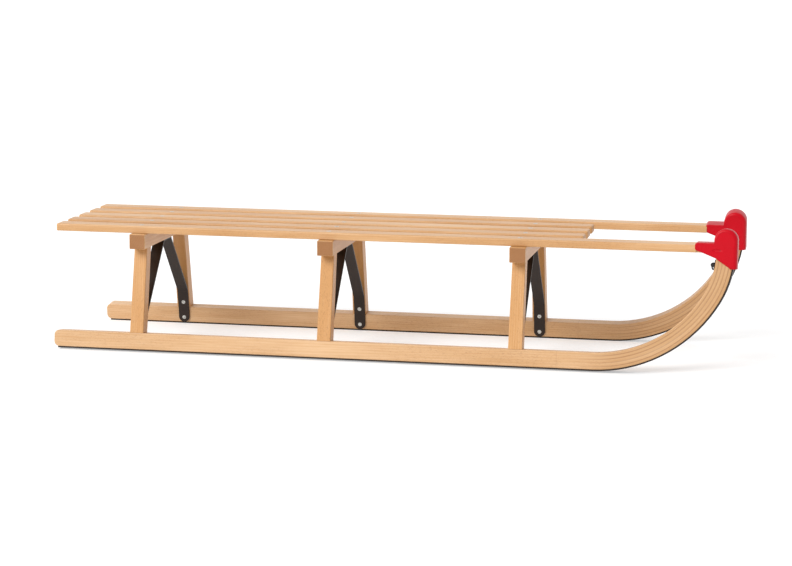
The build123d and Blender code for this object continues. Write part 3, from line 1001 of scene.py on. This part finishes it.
    def _dish(self, mesh: bmesh.types.BMesh, outward: float, sign: float) -> List[Ring]:
        """Lays the lens-shaped dish in a cheek.

        Args:
            mesh: Mesh that takes the vertices.
            outward: One for the outer cheek, minus one for the inner.
            sign: One for the left cap, minus one for the right.

        Returns:
            Rings of vertices, from a flat collar on the panel to the bottom.
        """
        reach = self.outer if outward > 0 else self.inner
        level = self.panel_rows[-1][1]
        rings = []
        for scale, depth in ((self.dish_collar, level), (1.0, level), *self.dish_rows):
            ring = []
            for step in range(self.dish_sides):
                angle = 2 * math.pi * step / self.dish_sides
                along = self.dish[0] + self.dish_half[0] * scale * math.cos(angle)
                height = self.dish[1] + self.dish_half[1] * scale * math.sin(angle)
                ring.append(mesh.verts.new(self._place(along, height, outward * (reach - depth), sign)))
            rings.append(ring)
        return rings

    def _cheek(self, mesh: bmesh.types.BMesh, outward: float, sign: float) -> Ring:
        """Builds one cheek with its rim, its panel and its dish.

        Args:
            mesh: Mesh that takes the faces.
            outward: One for the outer cheek, minus one for the inner.
            sign: One for the left cap, minus one for the right.

        Returns:
            The ring of vertices where the rim meets the wall.
        """
        rim = self._rim(mesh, outward, sign)
        for lower, upper in zip(rim, rim[1:]):
            join_rings(mesh, lower, upper)
        dish = self._dish(mesh, outward, sign)
        for lower, upper in zip(dish, dish[1:]):
            join_rings(mesh, lower, upper)
        mesh.faces.new(dish[-1])
        self._fill(mesh, self._distinct(rim[-1]), dish[0])
        return rim[0]

    def _fill(self, mesh: bmesh.types.BMesh, outer: Ring, hole: Ring) -> None:
        """Fills the panel between its border and the dish.

        Args:
            mesh: Mesh that takes the faces.
            outer: The panel's border.
            hole: The border of the dish.
        """
        flat = outer + hole
        loops = [[Vector((vertex.co.x, vertex.co.z, 0.0)) for vertex in rim] for rim in (outer, hole)]
        for corners in tessellate_polygon(loops):
            if mesh.faces.get([flat[corner] for corner in corners]) is None:
                mesh.faces.new([flat[corner] for corner in corners])

    def _distinct(self, ring: Ring) -> Ring:
        """Leaves out each vertex that lies on the one before.

        Args:
            ring: Vertices in order.

        Returns:
            Those that stand apart.
        """
        kept = [ring[0]]
        for vertex in ring[1:]:
            if (vertex.co - kept[-1].co).length > self.weld:
                kept.append(vertex)
        return kept

    def build(self) -> None:
        """Makes both caps in place of the plain ones."""
        red = RedPlastic().make()
        for side, sign in zip(SIDES, (1.0, -1.0)):
            mesh = bmesh.new()
            join_rings(mesh, self._cheek(mesh, 1.0, sign), self._cheek(mesh, -1.0, sign))
            bmesh.ops.remove_doubles(mesh, verts=mesh.verts, dist=self.weld)
            bmesh.ops.dissolve_degenerate(mesh, dist=self.weld, edges=mesh.edges)
            cap = add_mesh(f"{side}_moulded_cap", mesh, crease=self.crease)
            cap.data.materials.append(red)
            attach(cap, BODY)
            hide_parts(f"{side}_horn_cap")
            LOG.info("built %s", cap.name)


@dataclass(frozen=True)
class Braid:
    """Raised diamonds of a braided sheath."""

    bumps: int = 10
    pitch: float = 0.0026
    depth: float = 0.09
    sides: int = 50
    step: float = 0.00042

    def swell(self, run: float, angle: float) -> float:
        """Share of the full radius at a distance along the sheath and an angle round it."""
        wave = math.cos(self.bumps * angle) * math.cos(2 * math.pi * run / self.pitch)
        return 1 - self.depth * (0.5 - 0.5 * wave)


@dataclass
class Strand:
    """Braided tube along a line."""

    name: str
    line: Sequence[Vector]
    radius: float
    braid: Braid = field(default_factory=Braid)
    end_length: float = 0.6
    end_width: float = 0.15

    def _even(self) -> List[Vector]:
        """Spaces points evenly along the line.

        Returns:
            The points, with both ends.
        """
        spots = [self.line[0].copy()]
        spare = self.braid.step
        for start, end in zip(self.line, self.line[1:]):
            length = (end - start).length
            place = spare
            while place < length:
                spots.append(start.lerp(end, place / length))
                place += self.braid.step
            spare = place - length
        spots.append(self.line[-1].copy())
        return spots

    def build(self) -> bpy.types.Object:
        """Makes the tube, with rounded ends.

        Returns:
            The tube as a smooth mesh object.
        """
        spots = self._even()
        mesh = bmesh.new()
        heading = (spots[1] - spots[0]).normalized()
        up = heading.orthogonal().normalized()
        rings = []
        last = len(spots) - 1
        for row, spot in enumerate(spots):
            ahead = (spots[min(row + 1, last)] - spots[max(row - 1, 0)]).normalized()
            up = (heading.rotation_difference(ahead) @ up).normalized()
            heading = ahead
            aside = heading.cross(up)
            run = row * self.braid.step
            inset = min(run, (last - row) * self.braid.step) / (self.radius * self.end_length)
            ends = math.sqrt(max(0.0, 1 - (1 - min(1.0, inset)) ** 2)) * (1 - self.end_width) + self.end_width
            ring = []
            for step in range(self.braid.sides):
                angle = 2 * math.pi * step / self.braid.sides
                reach = self.radius * ends * self.braid.swell(run, angle)
                ring.append(mesh.verts.new(spot + (up * math.cos(angle) + aside * math.sin(angle)) * reach))
            rings.append(ring)
        for lower, upper in zip(rings, rings[1:]):
            join_rings(mesh, lower, upper)
        mesh.faces.new(rings[0][::-1])
        mesh.faces.new(rings[-1])
        return add_mesh(self.name, mesh)


@dataclass
class HornCord:
    """Braided cord between the horns, with a stopper knot outside each saddle."""

    route: Sequence[Tuple[float, float, float]] = (
        (0.5589, 0.12925, 0.18794),
        (0.5589, 0.1030, 0.18495),
        (0.5589, 0.0640, 0.1819),
        (0.5589, 0.0200, 0.1796),
        (0.5589, -0.0220, 0.1789),
        (0.5589, -0.0660, 0.1812),
        (0.5589, -0.1030, 0.18495),
        (0.5589, -0.12925, 0.18794),
    )
    diameter: float = 0.0035
    length: float = 0.25924
    wraps: float = 2.6
    strand: float = 0.00128
    knot_radius: float = 0.0037
    knot_length: float = 0.0070
    core_steps: int = 5
    core_share: float = 0.9
    wrap_steps: int = 60
    wrap_start: float = 0.6
    wrap_margin: float = 1.1
    tail_steps: int = 4
    tail_margin: float = 0.3
    curve_steps: int = 48

    def _centre_line(self) -> List[Vector]:
        """Draws the cord's smooth line through its route.

        Returns:
            Points along the line.
        """
        curve = bpy.data.curves.new("cord_route", "CURVE")
        curve.dimensions = "3D"
        curve.resolution_u = self.curve_steps
        spline = curve.splines.new("NURBS")
        spline.points.add(len(self.route) - 1)
        for point, place in zip(spline.points, self.route):
            point.co = (*place, 1.0)
        spline.order_u = 3
        spline.use_endpoint_u = True
        guide = add_object("cord_route", curve)
        bpy.context.view_layer.update()
        drawn = bpy.data.meshes.new_from_object(guide)
        points = [vertex.co.copy() for vertex in drawn.vertices]
        bpy.data.meshes.remove(drawn)
        bpy.data.objects.remove(guide)
        return points

    def _knot_line(self, side: str) -> List[Vector]:
        """Draws one stopper knot: out through the middle, back in wraps, then down in a tail.

        Args:
            side: The knot's side of the toboggan.

        Returns:
            Points along the knotted end.
        """
        low, high = (Vector(corner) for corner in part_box(f"{side}_cord_knot"))
        out = 1.0 if side == "left" else -1.0
        start = low.y if out > 0 else high.y
        middle = Vector(((low.x + high.x) / 2, 0.0, high.z - self.knot_radius))
        wind = self.knot_radius - self.strand
        inner = self.strand * self.wrap_margin
        outer = self.knot_length - self.strand
        points = []
        for step in range(self.core_steps + 1):
            away = outer * step / self.core_steps * self.core_share
            points.append(Vector((middle.x, start + out * away, middle.z)))
        for step in range(self.wrap_steps + 1):
            share = step / self.wrap_steps
            angle = 2 * math.pi * self.wraps * share + self.wrap_start
            reach = wind * min(1.0, 0.35 + share * 9.0)
            away = outer + (inner - outer) * share
            points.append(Vector((
                middle.x + reach * math.sin(angle),
                start + out * away,
                middle.z + reach * math.cos(angle),
            )))
        end = points[-1]
        for step in range(1, self.tail_steps + 1):
            share = step / self.tail_steps
            drop = end.z + (low.z + self.strand * self.tail_margin - end.z) * share
            points.append(Vector((end.x * (1 - share) + middle.x * share, end.y, drop)))
        return points

    def build(self) -> None:
        """Makes the cord and both knots, and hides their plain solids."""
        yarn = BlackNylon("black_cord", pale="2c2c2d", dark="0f0f10", rough=0.62, grain=2600.0).make()
        line = self._centre_line()
        cord = Strand("horn_cord", line, self.diameter / 2).build()
        knots = []
        for side in SIDES:
            tight = Braid(bumps=8, pitch=0.0021, sides=32, step=0.00035)
            knots.append(Strand(f"{side}_stopper_knot", self._knot_line(side), self.strand, tight).build())
            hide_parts(f"{side}_cord_knot")
        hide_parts("cord")
        for piece in (cord, *knots):
            piece.data.materials.append(yarn)
            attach(piece, BODY)
            LOG.info("built %s", piece.name)
        nylon = BlackNylon().make()
        for side in SIDES:
            dress(f"{side}_cord_saddle", nylon)


@dataclass
class Studio:
    """Floor, lights and camera."""

    stand: Vector = field(default_factory=lambda: Vector((0.825, -4.089, 0.8035)))
    aim: Vector = field(default_factory=lambda: Vector((-0.008, -0.02, 0.118)))
    roll: float = -0.0047
    fill: float = 0.44
    floor_size: float = 60.0
    floor_grey: Colour = (0.62, 0.62, 0.62, 1.0)
    floor_rough: float = 0.8
    floor_glow: float = 0.40
    wall_power: float = 0.62
    least_power: float = 0.40
    top_dim: float = 0.45
    sun_from: Tuple[float, float, float] = (-0.42, -0.74, 0.60)
    sun: float = 2.95
    sun_width: float = math.radians(34)

    def light(self) -> None:
        """Sets a white room that is dimmer behind the camera, and one wide soft light."""
        world = bpy.data.worlds.new("white_room")
        graph = Graph("white_room", world)
        where = graph.node("ShaderNodeTexCoord", {}, {}, "Generated")
        depth = graph.node("ShaderNodeSeparateXYZ", {}, {0: where}, "Y")
        rise = graph.node("ShaderNodeSeparateXYZ", {}, {0: where}, "Z")
        wall = depth.between(-0.75, 0.10) * (1.0 - rise.between(0.25, 0.95) * self.top_dim)
        power = wall * self.wall_power + self.least_power
        room = graph.node("ShaderNodeBackground", {}, {"Color": WHITE, "Strength": power})
        graph.finish("ShaderNodeOutputWorld", room)
        bpy.context.scene.world = world
        bpy.context.scene.view_settings.view_transform = "Standard"
        light = bpy.data.lights.new("soft_sun", "SUN")
        light.energy = self.sun
        light.angle = self.sun_width
        lamp = add_object("soft_sun", light)
        lamp.rotation_euler = (-Vector(self.sun_from)).to_track_quat("-Z", "Y").to_euler()

    def floor(self) -> None:
        """Lays a plain pale floor."""
        mesh = bpy.data.meshes.new("floor")
        half = self.floor_size / 2
        corners = [(-half, -half, 0.0), (half, -half, 0.0), (half, half, 0.0), (-half, half, 0.0)]
        mesh.from_pydata(corners, [], [(0, 1, 2, 3)])
        floor = add_object("floor", mesh)
        graph = Graph("pale_floor")
        glow = {"Emission Color": WHITE, "Emission Strength": self.floor_glow}
        mesh.materials.append(graph.surface(self.floor_grey, self.floor_rough, fixed=glow))

    def camera(self) -> None:
        """Places the camera and fits the toboggan to its view."""
        lens = bpy.data.cameras.new("camera")
        camera = add_object("camera", lens)
        camera.location = self.stand
        ahead = self.aim - self.stand
        turn = Quaternion(ahead.normalized(), self.roll) @ ahead.to_track_quat("-Z", "Y")
        camera.rotation_euler = turn.to_euler()
        low, high = (Vector(corner) for corner in CAD_BOX)
        spread = 0.0
        for x in (low.x, high.x):
            for y in (low.y, high.y):
                seen = turn.inverted() @ (Vector((x, y, low.z)) - self.stand)
                spread = max(spread, abs(seen.x / seen.z))
        lens.lens = self.fill * lens.sensor_width / spread
        bpy.context.scene.camera = camera
        LOG.info("camera lens %.1f mm", lens.lens)


def main() -> None:
    """Builds and dresses the toboggan in its studio."""
    logging.basicConfig(level=logging.INFO, format="%(name)s: %(message)s")
    studio = Studio()
    studio.camera()
    HornCord().build()
    studio.floor()
    studio.light()
    Woodwork().dress()
    Metalwork().dress()
    HornCaps().build()


if __name__ == "__main__":
    main()
